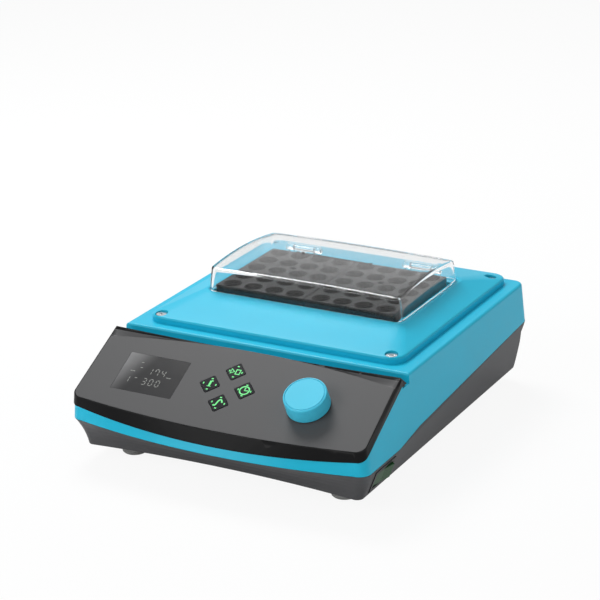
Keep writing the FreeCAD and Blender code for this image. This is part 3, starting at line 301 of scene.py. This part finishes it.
# Power switch
# A green moulded rocker on two stub pins, in a black nylon frame that snaps into the right side
# of the tray near its front.
switch_black = moulded("switch_black", paint(34, 34, 35), gloss=0.38)
rocker_green = moulded("rocker_green", paint(14, 78, 30), gloss=0.28, relief=0.004 * MM,
                       edge=0.5 * MM)
dress(switch_black, "power_switch_frame")
dress(rocker_green, "power_rocker")


# Mains inlet
# A standard appliance inlet of black plastic with three blades in its socket, pressed into the
# rear of the tray.
dress(switch_black, "power_inlet")


# Power board
# A glass-fibre board with its coil, relay and two capacitors. It stands on four posts in the rear
# of the tray, partly under the heater.
circuit_green = moulded("circuit_green", paint(34, 108, 66), gloss=0.32, grain=0.25 * MM)
dress(circuit_green, "power_board", "control_board")
dress(switch_black, "power_board_posts", "plate_standoffs")


# Upper shell
# The bright blue shell, moulded in satin plastic: walls that lean in, a flat flange for the deck
# and a channel above the panel. Screws from the tray hold it.
shell_blue = moulded("shell_blue", paint(30, 194, 228), gloss=0.36, relief=0.008 * MM,
                     edge=0.6 * MM)
dress(shell_blue, "upper_housing")


# Deck and its screws
# The blue moulded cap that slopes up round the blocks. Four socket screws of bright steel, sunk
# in its corners, hold it to the flange.
dress(shell_blue, "top_deck")
dress(bright_steel, "deck_screws")


# Heater
# An aluminium plate on four standoffs carries the blocks, with a silicone heating mat stuck under
# it. A foam jacket stands on its rim round the blocks, and a probe and a thermal cut-out are
# fixed to it.
plate_metal = metal("plate_metal", paint(205, 206, 208), 0.34, 0.6 * MM, (1, 0.05, 1))
heater_silicone = moulded("heater_silicone", paint(196, 106, 62), gloss=0.55, grain=1.2 * MM,
                          relief=0.05 * MM)
jacket_foam = moulded("jacket_foam", paint(206, 202, 190), gloss=0.85, grain=0.9 * MM,
                      relief=0.25 * MM, edge_wear_and_highlight=0.0)
dress(plate_metal, "heater_plate")
dress(heater_silicone, "heater_mat")
dress(jacket_foam, "insulation_jacket")
dress(bright_steel, "temperature_sensor", "thermal_cutout")


# Heating blocks
# Two aluminium blocks, each drilled with four by five tube wells and hard-anodised to a dark
# grey. They lie loose on the heater's plate.
block_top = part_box("heating_block_left")[1][2]
well_fade = 7 * MM
top_edge = 0.2 * MM
# Painted shade: the black that the wells and the sides of the blocks are painted towards.
painted_well_shade = paint(9, 9, 10)


def painted_shade_down_the_wells(finish, tone):
    """Painted shade: the tone turns black from just below the top, down the wells and the sides,
    where shade falls.
    """
    place = finish.node("TexCoord", output="Object")
    height = finish.node("SeparateXYZ", None, {0: place}, output="Z")
    depth = finish.node("MapRange", {"interpolation_type": "SMOOTHSTEP"}, {
        "Value": height, "From Min": block_top - well_fade, "From Max": block_top - top_edge,
        "To Min": 1.0, "To Max": 0.0})
    return blend_colours(finish, depth, tone, painted_well_shade)


# The anodised dark grey, with painted shade down the wells and on the sides.
block_anodised_with_painted_well_shade = metal("block_anodised_with_painted_well_shade", paint(38, 38, 38), 0.42, 0.5 * MM, (1, 0.2, 1),
                       metallic=0.0, mirror=0.12, shade=painted_shade_down_the_wells)
dress(block_anodised_with_painted_well_shade, "heating_block_left", "heating_block_right")


# Clear cover
# A moulded hood of clear polycarbonate, thin and crisp at its edges, on two clear hinges with clear
# pins. Its top is arched, and its rear wall is notched for the brackets.
def closed_form(name, rings):
    """A closed solid through a row of closed outlines, each a list of places."""
    form = bmesh.new()
    rows = [[form.verts.new(place) for place in ring] for ring in rings]
    for near, far in zip(rows, rows[1:]):
        for place in range(len(near)):
            after = (place + 1) % len(near)
            form.faces.new((near[place], near[after], far[after], far[place]))
    form.faces.new(rows[0])
    form.faces.new(rows[-1])
    bmesh.ops.recalc_face_normals(form, faces=form.faces)
    mesh = bpy.data.meshes.new(name)
    form.to_mesh(mesh)
    form.free()
    solid = bpy.data.objects.new(name, mesh)
    bpy.context.collection.objects.link(solid)
    return solid


def worked(piece, added=(), cut=()):
    """The piece with other solids added to it and then cut from it."""
    for operation, tools in (("UNION", added), ("DIFFERENCE", cut)):
        for tool in tools:
            modifier = piece.modifiers.new(operation, "BOOLEAN")
            modifier.operation = operation
            modifier.solver = "EXACT"
            modifier.object = tool
    evaluated = piece.evaluated_get(bpy.context.evaluated_depsgraph_get())
    mesh = bpy.data.meshes.new_from_object(evaluated)
    result = bpy.data.objects.new(piece.name, mesh)
    for spent in (piece, *added, *cut):
        bpy.data.objects.remove(spent)
    bpy.context.collection.objects.link(result)
    return result


def smooth(piece, sharp_above=38):
    piece.data.shade_smooth()
    piece.data.set_sharp_from_angle(angle=math.radians(sharp_above))


joints = {joint["name"]: joint for joint in frame["joints"]}
hinge_line = Vector(joints["lid_hinge"]["pos_m"])
lid_low, lid_high = (Vector(corner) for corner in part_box("lid"))
hood_corner = 6.5 * MM
hood_draft = 1.6 * MM
hood_edge = 1.7 * MM
hood_wall = 1.9 * MM
arch_radius = 350 * MM
arch_middle = 40 * MM
crown_radius = 3000 * MM
edge_steps = 6
top_rings = 12
least_corner = 0.4 * MM
last_ring = 1 * MM


def hood_outline(inset, steps=8, parts=22):
    """Places round the hood, seen from above, this far inside its foot."""
    corner = max(hood_corner - inset, least_corner)
    middles = [(lid_high.x - inset - corner, lid_low.y + inset + corner),
               (lid_high.x - inset - corner, lid_high.y - inset - corner),
               (lid_low.x + inset + corner, lid_high.y - inset - corner),
               (lid_low.x + inset + corner, lid_low.y + inset + corner)]
    places = []
    for quadrant, (x, y) in enumerate(middles):
        arc = [math.radians(90 * (quadrant - 1 + step / steps)) for step in range(steps + 1)]
        places += [(x + corner * math.cos(turn), y + corner * math.sin(turn)) for turn in arc]
        next_x, next_y = middles[(quadrant + 1) % 4]
        end_x = next_x + corner * math.cos(arc[-1])
        end_y = next_y + corner * math.sin(arc[-1])
        start_x, start_y = places[-1]
        places += [(start_x + (end_x - start_x) * part / parts,
                    start_y + (end_y - start_y) * part / parts) for part in range(1, parts)]
    return places


def hood_top(x, y):
    """The height of the arched top at this place."""
    arch = arch_radius - math.sqrt(arch_radius ** 2 - (y - arch_middle) ** 2)
    return lid_high.z - arch - x * x / (2 * crown_radius)


def hood_shell(inset, drop, foot):
    """Rings of the hood from its foot over the edge and in towards the middle of its top."""
    shell = []
    for share in (0, 0.5, 1):
        shell.append([(x, y, foot + (hood_top(x, y) - drop - hood_edge - foot) * share)
                      for x, y in hood_outline(inset + hood_draft * share)])
    for step in range(1, edge_steps + 1):
        turn = math.radians(90 * step / edge_steps)
        shell.append([(x, y, hood_top(x, y) - drop - hood_edge * (1 - math.sin(turn)))
                      for x, y in hood_outline(inset + hood_draft
                                               + hood_edge * (1 - math.cos(turn)))])
    start = inset + hood_draft + hood_edge
    end = (lid_high.y - lid_low.y) / 2 - last_ring
    for step in range(1, top_rings + 1):
        shell.append([(x, y, hood_top(x, y) - drop)
                      for x, y in hood_outline(start + (end - start) * step / top_rings)])
    return shell


def level_bar(name, x_low, x_high, outline):
    """A straight bar along X with this outline of (y, z)."""
    return closed_form(name, [[(x, y, z) for y, z in outline] for x in (x_low, x_high)])


def block_between(name, low, high):
    """A square block between its lowest and its highest corner."""
    return level_bar(name, low[0], high[0], [(low[1], low[2]), (high[1], low[2]),
                                             (high[1], high[2]), (low[1], high[2])])


knuckle = 2.4 * MM
hinge_half = 52 * MM
ear_near = 9.6 * MM
ear_far = 14.6 * MM
ear_root = 1 * MM
beyond = 1 * MM
rear_start = 88 * MM
rear_gap = 0.8 * MM
hood = closed_form("clear_hood", hood_shell(hood_wall, hood_wall, lid_low.z)[::-1]
                   + hood_shell(0, 0, lid_low.z))
ears = []
notches = [block_between("rear_lift", (lid_low.x - beyond, rear_start, lid_low.z - beyond),
                         (lid_high.x + beyond, lid_high.y + beyond, lid_low.z + rear_gap))]
for middle in (-hinge_half, hinge_half):
    notches.append(block_between(
        "notch",
        (middle - ear_far, hinge_line.y - knuckle - beyond, lid_low.z - beyond),
        (middle + ear_far, lid_high.y + beyond, hinge_line.z + knuckle + rear_gap)))
    for side in (-1, 1):
        inner, outer = sorted((middle + side * ear_near, middle + side * (ear_far + ear_root)))
        ears.append(level_bar("ear", inner, outer, [
            (hinge_line.y + knuckle * math.cos(math.radians(turn)),
             hinge_line.z + knuckle * math.sin(math.radians(turn))) for turn in range(0, 360, 15)]))
hood = worked(worked(hood, cut=notches), added=ears)
smooth(hood)

clear = Finish("clear_plastic")
ripple = noise(clear, grain=30 * MM, detail=0.0)
clear_skin = clear.node("Bump", None, {"Strength": 0.12, "Distance": 0.05 * MM,
                                       "Height": ripple})
clear_plastic = clear.show(clear.node("BsdfPrincipled", None, {
    "Base Color": (0.975, 0.985, 0.99, 1), "Roughness": 0.02, "IOR": 1.36,
    "Transmission Weight": 1.0, "Normal": clear_skin}))
hood.data.materials.clear()
hood.data.materials.append(clear_plastic)
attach(hood, "cover")
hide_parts("lid")
dress(clear_plastic, "hinge_brackets", "hinge_pins")


# Control panel
# A black moulded bezel with a grey matt film on its face, both cut out for the window, the four
# keys and the knob. Beyond the crease of the film the face drops into two long scoops, grey as
# the film, which rise again to a black rim whose lip covers the channel of the shell behind.
dull_mirror = {"Specular IOR Level": 0.1}
panel_black = moulded("panel_black", paint(20, 20, 21), gloss=0.34, edge=0.25 * MM, edge_wear_and_highlight=0.04,
                      **dull_mirror)
panel_grey = moulded("panel_grey", paint(84, 84, 85), gloss=0.46, grain=0.22 * MM,
                     relief=0.01 * MM, edge=0.1 * MM, edge_wear_and_highlight=0.0)
dress(panel_grey, "panel_overlay")

panel_normal = Vector(joints["knob_spin"]["axis"]).normalized()
across_panel = Vector((1, 0, 0))
up_panel = panel_normal.cross(across_panel)
panel_turn = Matrix((across_panel, up_panel, panel_normal)).transposed().to_4x4()


def reach_along(node, direction):
    """How far a CAD piece reaches along a direction: its least and most."""
    places = [direction.dot(vertex.co) for vertex in frame["nodes"][node].data.vertices]
    return min(places), max(places)


panel_end = reach_along("control_panel", up_panel)[1]
panel_face = reach_along("control_panel", panel_normal)[1]
panel_half = 118.7 * MM
edge_bow = 1.7 * MM
crease_middle = 1.9 * MM
crease_bend = 0.625
rim_least = 0.9 * MM
rim_growth = 2.2 * MM
scoop_start = 33 * MM
scoop_end = 118.3 * MM
scoop_deepest = 2.1 * MM
scoop_land = 0.05 * MM
filled_length = 12.5 * MM
filled_depth = 3.0 * MM
side_slack = 0.05 * MM
edge_slack = 0.1 * MM
merge_reach = 0.001 * MM


def on_panel(x, from_end, depth=0.0):
    """A place on the sloping face: from the middle, down from its rear end and into it."""
    return across_panel * x + up_panel * (panel_end - from_end) + panel_normal * (
        panel_face - depth)


def edge_inset(x):
    """How far the bowed rear edge stands below its ends at this distance from the middle."""
    return edge_bow * (1 - (x / panel_half) ** 2)


def scoop_ring(x):
    """The outline that is cut away at this distance from the middle."""
    along = min((abs(x) - scoop_start) / (scoop_end - scoop_start), 1)
    deep = scoop_land + scoop_deepest * math.sin(math.pi * along) ** 0.8
    crease = crease_middle + crease_bend * x * x
    rim = edge_inset(x) + rim_least + rim_growth * along
    floor_line = [on_panel(x, crease + (rim - crease) * share, deep * (1 - share ** 2))
                  for share in (0, 0.2, 0.4, 0.6, 0.8, 1)]
    return [on_panel(x, rim, -beyond), on_panel(x, crease, -beyond)] + floor_line


def stations(low, high, steps):
    """Evenly spaced places from low to high, both of them included."""
    return [low + (high - low) * step / steps for step in range(steps + 1)]


def coat(piece, shown):
    """Gives a solid the bezel's black and grey, and shows one of them all over it."""
    piece.data.materials.clear()
    for finish in (panel_black, panel_grey):
        piece.data.materials.append(finish)
    for polygon in piece.data.polygons:
        polygon.material_index = shown


bezel = bpy.data.objects.new("panel_bezel", frame["nodes"]["control_panel"].data.copy())
bpy.context.collection.objects.link(bezel)
merged = bmesh.new()
merged.from_mesh(bezel.data)
bmesh.ops.remove_doubles(merged, verts=merged.verts, dist=merge_reach)
merged.to_mesh(bezel.data)
merged.free()
coat(bezel, 0)

filler = closed_form("filler", [
    [on_panel(x, edge_inset(x) + edge_slack, depth) for depth in (0, filled_depth)]
    + [on_panel(x, filled_length, depth) for depth in (filled_depth, 0)]
    for x in stations(side_slack - panel_half, panel_half - side_slack, 24)])
lip_back = 9.7 * MM
lip_drop = 7.6 * MM
lip_under = Vector((0, 2.3 * MM, -8.6 * MM))
lip = closed_form("lip", [
    [edge, edge + Vector((0, lip_back, -lip_drop)), edge + lip_under]
    for edge in (on_panel(x, edge_inset(x)) for x in stations(-panel_half, panel_half, 24))])
scoops = [closed_form("scoop", [scoop_ring(side * x)
                                for x in stations(scoop_start, scoop_end, 28)])
          for side in (-1, 1)]
for scoop in scoops:
    coat(scoop, 1)
bezel = worked(worked(bezel, added=[filler, lip]), cut=scoops)
smooth(bezel, 25)
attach(bezel, "root")
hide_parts("control_panel")


# Display
# A tinted window over a reflective display module, which stands on legs on the board. The two
# rows of digits and the small signs beside them are dim grey segments.
class Recipe:
    """A Geometry Nodes tree, built node by node, with named inputs for its sizes."""

    def __init__(self, name, **sizes):
        self.sizes = sizes
        self.tree = bpy.data.node_groups.new(name, "GeometryNodeTree")
        self.tree.interface.new_socket("Points", in_out="INPUT",
                                       socket_type="NodeSocketGeometry")
        for size in sizes:
            self.tree.interface.new_socket(size, in_out="INPUT", socket_type="NodeSocketFloat")
        self.tree.interface.new_socket("Result", in_out="OUTPUT",
                                       socket_type="NodeSocketGeometry")
        self.given = self.tree.nodes.new("NodeGroupInput")

    def size(self, name):
        return self.given.outputs[name]

    def node(self, kind, settings=None, sockets=None, output=0):
        item = self.tree.nodes.new(kind)
        for key, value in (settings or {}).items():
            setattr(item, key, value)
        for key, value in (sockets or {}).items():
            if isinstance(value, bpy.types.NodeSocket):
                self.tree.links.new(value, item.inputs[key])
            else:
                item.inputs[key].default_value = value
        return item.outputs[output]

    def grow(self, name, spots, material):
        """A plain mesh object, grown on spots: (x, y, turn) in metres and radians."""
        cloud = bpy.data.meshes.new(name)
        cloud.from_pydata([(x, y, 0) for x, y, turn in spots], [], [])
        turns = cloud.attributes.new("turn", "FLOAT", "POINT")
        turns.data.foreach_set("value", [turn for x, y, turn in spots])
        seed = bpy.data.objects.new(name + "_seed", cloud)
        bpy.context.collection.objects.link(seed)
        solid = self.node("GeometryNodeRealizeInstances", None, {0: self.result})
        coated = self.node("GeometryNodeSetMaterial", None, {0: solid, "Material": material})
        end = self.tree.nodes.new("NodeGroupOutput")
        self.tree.links.new(coated, end.inputs[0])
        modifier = seed.modifiers.new("grown", "NODES")
        modifier.node_group = self.tree
        for socket in self.tree.interface.items_tree:
            if socket.name in self.sizes:
                modifier[socket.identifier] = self.sizes[socket.name]
        evaluated = seed.evaluated_get(bpy.context.evaluated_depsgraph_get())
        mesh = bpy.data.meshes.new_from_object(evaluated)
        bpy.data.objects.remove(seed)
        grown = bpy.data.objects.new(name, mesh)
        bpy.context.collection.objects.link(grown)
        return grown


def middle_of_face(node):
    """The middle of a piece's front face on the sloping panel."""
    middle = Vector()
    for axis in (across_panel, up_panel):
        middle += axis * sum(reach_along(node, axis)) / 2
    return middle + panel_normal * reach_along(node, panel_normal)[1]


def lay_on_face(piece, node, lift=0.0):
    """Turns a flat drawing into the plane of the panel, at the middle of that piece's face."""
    place = middle_of_face(node) + panel_normal * lift
    piece.data.transform(Matrix.Translation(place) @ panel_turn)


tinted = Finish("window_glass")
window_left = reach_along("display_window", across_panel)[0]
window_top = reach_along("display_window", up_panel)[1]
# Painted reflection: the window's tone is lighter towards its upper left corner and along its left
# edge, standing in for a lamp's reflection.
sheen_length = 30 * MM
sheen_start = -2 * MM
sheen_slant = 0.45
window_place = tinted.node("TexCoord", output="Object")
along_window, up_window = (
    tinted.node("VectorMath", {"operation": "DOT_PRODUCT"}, {0: window_place, 1: axis},
                output="Value") for axis in (across_panel, up_panel))
painted_reflection = tinted.node("MapRange", {"interpolation_type": "SMOOTHSTEP"}, {
    "Value": (along_window - window_left) + (window_top - up_window) * sheen_slant,
    "From Min": sheen_start, "From Max": sheen_length, "To Min": 1.0, "To Max": 0.0})
smudge = noise(tinted, grain=9 * MM)
window_glass = tinted.show(tinted.node("BsdfPrincipled", None, {
    "Base Color": blend_colours(tinted, painted_reflection * (smudge * 0.3 + 0.85), paint(50, 50, 51),
                                paint(140, 140, 141)),
    "Roughness": smudge * 0.06 + 0.14, "Specular IOR Level": 0.3}))
dress(window_glass, "display_window")
dress(switch_black, "display_module", "tact_switches", "rotary_encoder")

digit_grey = Finish("digit_grey")
dither = noise(digit_grey, grain=0.3 * MM)
digit_shade = blend_colours(digit_grey, dither, paint(122, 124, 120), paint(146, 148, 143))
digit_finish = digit_grey.show(digit_grey.node("BsdfPrincipled", None, {
    "Base Color": digit_shade, "Roughness": 0.5}))

segments = Recipe("segments", Length=1.25 * MM, Width=0.36 * MM)
bar_profile = segments.node("GeometryNodeMeshCircle", {"fill_type": "NGON"},
                            {"Vertices": 6, "Radius": 1.0})
bar_scale = segments.node("ShaderNodeCombineXYZ", None, {
    "X": segments.size("Length"), "Y": segments.size("Width"), "Z": 1.0})
bar = segments.node("GeometryNodeTransform", None, {0: bar_profile, "Scale": bar_scale})
turn = segments.node("GeometryNodeInputNamedAttribute", {"data_type": "FLOAT"},
                     {"Name": "turn"})
turned = segments.node("ShaderNodeCombineXYZ", None, {"Z": turn})
segments.result = segments.node("GeometryNodeInstanceOnPoints", None, {
    "Points": segments.size("Points"), "Instance": bar, "Rotation": turned})

digit_width = 2.8 * MM
digit_height = 5.8 * MM
digit_pitch = 5.6 * MM
quarter = math.pi / 2
# The seven segments of a digit: place in half widths and quarter heights, and which way it lies
SEGMENTS = {"top": (0, 2, 0), "middle": (0, 0, 0), "foot": (0, -2, 0),
            "upper_left": (-1, 1, quarter), "upper_right": (1, 1, quarter),
            "lower_left": (-1, -1, quarter), "lower_right": (1, -1, quarter)}
EVERY = set(SEGMENTS)
LIT = {"0": EVERY - {"middle"}, "1": {"upper_right", "lower_right"},
       "3": EVERY - {"upper_left", "lower_left"},
       "4": EVERY - {"top", "foot", "lower_left"},
       "7": {"top", "upper_left", "upper_right", "lower_right"}}


def digits(text, x, y):
    """The spots of the lit segments of a number whose first digit stands at x, y."""
    return [(x + place * digit_pitch + across * digit_width / 2, y + up * digit_height / 4, lie)
            for place, digit in enumerate(text)
            for name, (across, up, lie) in SEGMENTS.items() if name in LIT[digit]]


# The small signs are single segments: place in millimetres, and which way each lies
SIGNS = [(-11.7, 10.1, 0), (-10.4, 5.3, 0), (-17.0, 1.1, 0), (-14.9, 1.1, 0),
         (-15.2, -5.8, quarter), (-15.2, -8.4, quarter), (-10.2, -4.8, 0), (14.2, 0.1, 0),
         (16.0, 0.1, 0)]
small_signs = [(x * MM, y * MM, lie) for x, y, lie in SIGNS]
print_lift = 0.02 * MM
readout = segments.grow("display_digits", digits("174", -1.9 * MM, 3.2 * MM)
                        + digits("300", -2.2 * MM, -6.8 * MM) + small_signs, digit_finish)
lay_on_face(readout, "display_window", print_lift)
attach(readout, "root")


# Keys
# Four square keys that stand on their corners, moulded near black, each over a switch on the
# board. Each has a green lit mark and a short bar near every corner, printed on its face.
key_black = moulded("key_black", paint(12, 14, 21), gloss=0.3, edge=0.4 * MM, edge_wear_and_highlight=0.14,
                    **dull_mirror)
print_depth = 0.05 * MM
half_line = MM / 2
# The short bars, in millimetres as the marks are
bar_reach = 5.1
bar_half = 0.8
bar_width = 1.0


def ring(radius, points=24):
    """Places round a circle in the middle of a key, in millimetres."""
    return [(radius * math.cos(2 * math.pi * step / points),
             radius * math.sin(2 * math.pi * step / points)) for step in range(points)]


# Each mark: its lines, in millimetres from the middle of the key, with their width; a line that
# is closed ends where it starts
MARKS = {
    "temperature": [([(0, -1.9), (0, 3.1)], 1.7, False), ([(0, -2.4), (0, -2.0)], 3.5, False),
                    ([(0.4, 3.3), (1.7, 2.9)], 1.0, False)],
    "start_stop": [([(-3.9, 2.1), (-3.9, -2.1), (-1.0, 0.0)], 1.15, True),
                   ([(0.2, 2.1), (3.4, 2.1), (3.4, -2.1), (0.2, -2.1)], 1.15, True)],
    "time": [(ring(3.7), 1.1, True), ([(0, 2.9), (0, 0), (2.7, 0.1)], 1.0, False)],
    "program": [([(-3.2, -2.2), (-2.6, -2.9), (-1.8, -2.8), (-1.2, -1.6), (-0.6, 1.4), (0.1, 2.8),
                  (1.1, 3.1), (2.0, 2.2), (2.9, 0.6)], 1.3, False)],
}

lit_green = Finish("lit_green")
lamp_spots = noise(lit_green, grain=1.5 * MM)
green = blend_colours(lit_green, lamp_spots, paint(90, 232, 120), paint(132, 255, 160))
green_finish = lit_green.show(lit_green.node("BsdfPrincipled", None, {
    "Base Color": paint(30, 90, 45), "Roughness": 0.45, "Emission Color": green,
    "Emission Strength": 0.85}))


def printed(name, lines):
    """Raised print: flattened beads along the lines of a mark."""
    drawing = bpy.data.curves.new(name, "CURVE")
    drawing.dimensions = "3D"
    drawing.bevel_depth = half_line
    drawing.bevel_resolution = 2
    drawing.use_fill_caps = True
    for points, width, closed in lines:
        line = drawing.splines.new("POLY")
        line.points.add(len(points) - 1)
        for point, (x, y) in zip(line.points, points):
            point.co = (x * MM, y * MM, 0, 1)
            point.radius = width
        line.use_cyclic_u = closed
    sample = bpy.data.objects.new(name + "_line", drawing)
    bpy.context.collection.objects.link(sample)
    evaluated = sample.evaluated_get(bpy.context.evaluated_depsgraph_get())
    mesh = bpy.data.meshes.new_from_object(evaluated)
    bpy.data.objects.remove(sample)
    mesh.transform(Matrix.Diagonal((1, 1, print_depth / half_line, 1)))
    mesh.materials.clear()
    mesh.materials.append(green_finish)
    mark = bpy.data.objects.new(name, mesh)
    bpy.context.collection.objects.link(mark)
    return mark


for key, lines in MARKS.items():
    node = "button_" + key
    bars = [([(-bar_half, reach), (bar_half, reach)], bar_width, False)
            for reach in (-bar_reach, bar_reach)]
    bars += [([(reach, -bar_half), (reach, bar_half)], bar_width, False)
             for reach in (-bar_reach, bar_reach)]
    mark = printed("mark_" + key, lines + bars)
    lay_on_face(mark, node)
    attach(mark, "key_" + key)
    dress(key_black, node)


# Knob
# A round knob of satin blue plastic with a fine ring in its top, on the steel shaft of an encoder
# whose bushing is held by a nut.
# Its edges are painted lighter than the rest, partly wear and partly a painted highlight on its
# rim.
knob_blue = moulded("knob_blue", paint(80, 212, 244), gloss=0.34, relief=0.004 * MM,
                    edge=0.5 * MM, edge_wear_and_highlight=0.5)
dress(knob_blue, "knob")
dress(bright_steel, "encoder_shaft", "encoder_nut")
